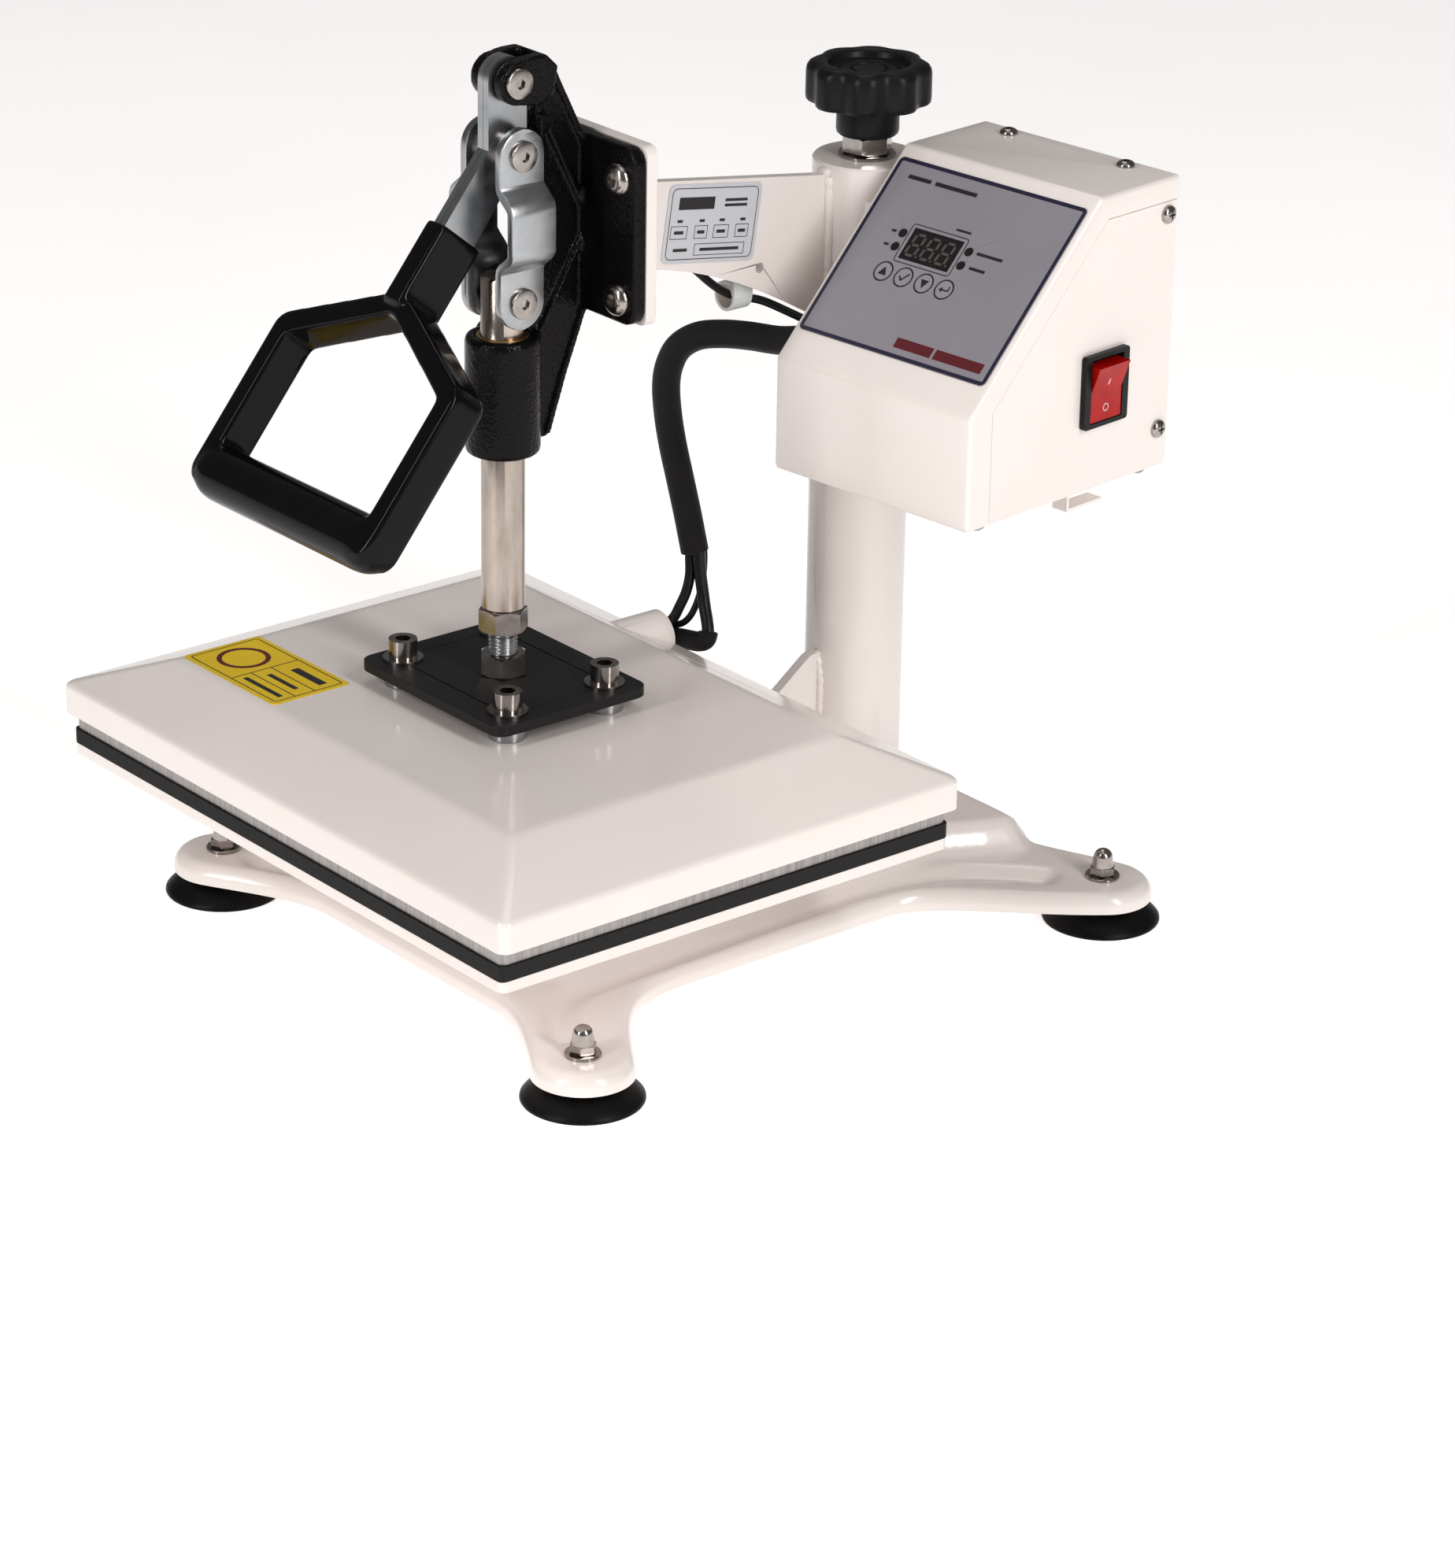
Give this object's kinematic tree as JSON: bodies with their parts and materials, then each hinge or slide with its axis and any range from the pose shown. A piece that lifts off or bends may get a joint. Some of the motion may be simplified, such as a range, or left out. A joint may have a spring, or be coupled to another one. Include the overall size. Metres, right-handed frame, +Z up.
{
  "type": "heat press",
  "caption": "Swing-away heat press with a heated upper platen on a toggle-lever arm, a padded lower platen, a column with a pressure knob and a controller box.",
  "frame": {"origin": "centre of the bounding box at the underside of the suction feet", "axes": "+X to the operator's right, +Y from the operator to the column, +Z up"},
  "size_m": [0.31, 0.3702, 0.3916],
  "materials": {
    "cream_paint": "gloss powder coat",
    "black_paint": "gloss orange-peel powder coat on a casting",
    "plate_black": "satin black coat",
    "zinc": "bright zinc plate",
    "shaft_nickel": "polished nickel",
    "screw_steel": "plain steel",
    "bronze": "plain bronze bush",
    "platen_aluminium": "milled edge",
    "foam_pad": "closed silicone sponge",
    "foot_rubber": "smooth black rubber",
    "grip_vinyl": "dipped soft vinyl",
    "knob_plastic": "fine texture",
    "nylon": "natural nylon",
    "switch_plastic": "moulded",
    "black_plastic": "moulded",
    "label_film": "printed foil",
    "yellow_film": "printed sticker",
    "overlay_film": "printed overlay",
    "dark_window": "smoked window",
    "key_film": "embossed key",
    "lamp_red": "unlit lamp",
    "rocker_red": "translucent red",
    "board_green": "solder mask",
    "module_grey": "anodised heat sink",
    "mineral_mat": "glass wool mat",
    "braid": "woven glass sleeve",
    "wire_black": "insulated wire"
  },
  "bodies": {
    "base": {"base_frame": "cream_paint", "platen_support": "cream_paint", "lower_platen": "cream_paint", "silicone_pad": "foam_pad", "suction_feet": "foot_rubber", "foot_nuts": "zinc", "column_tube": "cream_paint", "column_gusset": "cream_paint", "inner_post": "screw_steel", "post_insert": "bronze"},
    "carriage": {"swivel_bush": "bronze"},
    "knob": {"star_knob": "knob_plastic", "knob_nut": "zinc", "pressure_screw": "zinc"},
    "arm": {"arm_sleeve": "cream_paint", "arm_plate": "cream_paint", "toggle_bracket": "black_paint", "bracket_bolts": "zinc", "guide_bush": "bronze", "upper_pivot_bolt": "screw_steel", "rating_label": "label_film", "cable_clip": "nylon", "position_switch": "switch_plastic", "sensor_wire": "wire_black", "box_bracket": "cream_paint", "box_shell": "cream_paint", "box_rear_cover": "cream_paint", "box_bottom_plate": "cream_paint", "box_screws": "screw_steel", "mains_gland": "black_plastic", "control_board": "board_green", "power_module": "module_grey", "panel_overlay": "overlay_film", "display_window": "dark_window", "indicator_leds": "lamp_red", "rocker_bezel": "black_plastic", "harness_gland": "black_plastic", "harness_sleeve": "braid"},
    "handle": {"handle_bars": "zinc", "handle_grip": "grip_vinyl", "middle_pivot_bolt": "screw_steel"},
    "links": {"side_links": "zinc", "lower_pivot_pins": "screw_steel"},
    "press_head": {"press_shaft": "shaft_nickel", "shaft_nut": "zinc", "threaded_stud": "zinc", "plate_nut": "zinc", "spreader_plate": "plate_black", "plate_screws": "screw_steel", "standoffs": "zinc", "platen_cover": "cream_paint", "insulation_mat": "mineral_mat", "heat_plate": "platen_aluminium", "cover_label": "yellow_film", "harness_wires": "wire_black"},
    "up_button": {"key_up": "key_film"},
    "ok_button": {"key_ok": "key_film"},
    "down_button": {"key_down": "key_film"},
    "enter_button": {"key_enter": "key_film"},
    "power_switch": {"rocker": "rocker_red"}
  },
  "joints": [
    {"name": "arm_lift", "type": "slide", "parent": "base", "child": "carriage", "axis": [0, 0, 1], "range_m": [0, 0.006]},
    {"name": "knob_turn", "type": "hinge", "parent": "carriage", "child": "knob", "pos_m": [0, 0.1246, 0.35], "axis": [0, 0, 1], "range_deg": [0, 1234.3]},
    {"name": "arm_swing", "type": "hinge", "parent": "carriage", "child": "arm", "pos_m": [0, 0.1246, 0.26], "axis": [0, 0, 1], "range_deg": [-90, 90]},
    {"name": "handle_lift", "type": "hinge", "parent": "arm", "child": "handle", "pos_m": [0, -0.0676, 0.382], "axis": [-1, 0, 0], "range_deg": [0, 90]},
    {"name": "link_turn", "type": "hinge", "parent": "handle", "child": "links", "pos_m": [0, -0.0676, 0.353], "axis": [1, 0, 0], "range_deg": [0, 118.69]},
    {"name": "press_slide", "type": "slide", "parent": "arm", "child": "press_head", "axis": [0, 0, 1], "range_m": [0, 0.03643], "deforming": ["harness_sleeve"]},
    {"name": "up_button_press", "type": "slide", "parent": "arm", "child": "up_button", "axis": [-0.0756, 0.7073, -0.7029], "range_m": [0, 0.00035], "stiffness_N_per_m": 600},
    {"name": "ok_button_press", "type": "slide", "parent": "arm", "child": "ok_button", "axis": [-0.0756, 0.7073, -0.7029], "range_m": [0, 0.00035], "stiffness_N_per_m": 600},
    {"name": "down_button_press", "type": "slide", "parent": "arm", "child": "down_button", "axis": [-0.0756, 0.7073, -0.7029], "range_m": [0, 0.00035], "stiffness_N_per_m": 600},
    {"name": "enter_button_press", "type": "slide", "parent": "arm", "child": "enter_button", "axis": [-0.0756, 0.7073, -0.7029], "range_m": [0, 0.00035], "stiffness_N_per_m": 600},
    {"name": "power_rock", "type": "hinge", "parent": "arm", "child": "power_switch", "pos_m": [0.13069, 0.14024, 0.247], "axis": [0.1063, -0.9943, 0], "range_deg": [0, 20]}
  ],
  "couplings": [
    {"joint": "knob_turn", "follows": "arm_lift", "rad_per_m": 3590.4},
    {"joint": "link_turn", "follows": "handle_lift", "ratio": 1.3154},
    {"joint": "press_slide", "follows": "handle_lift", "m_per_rad": 0.023131}
  ]
}
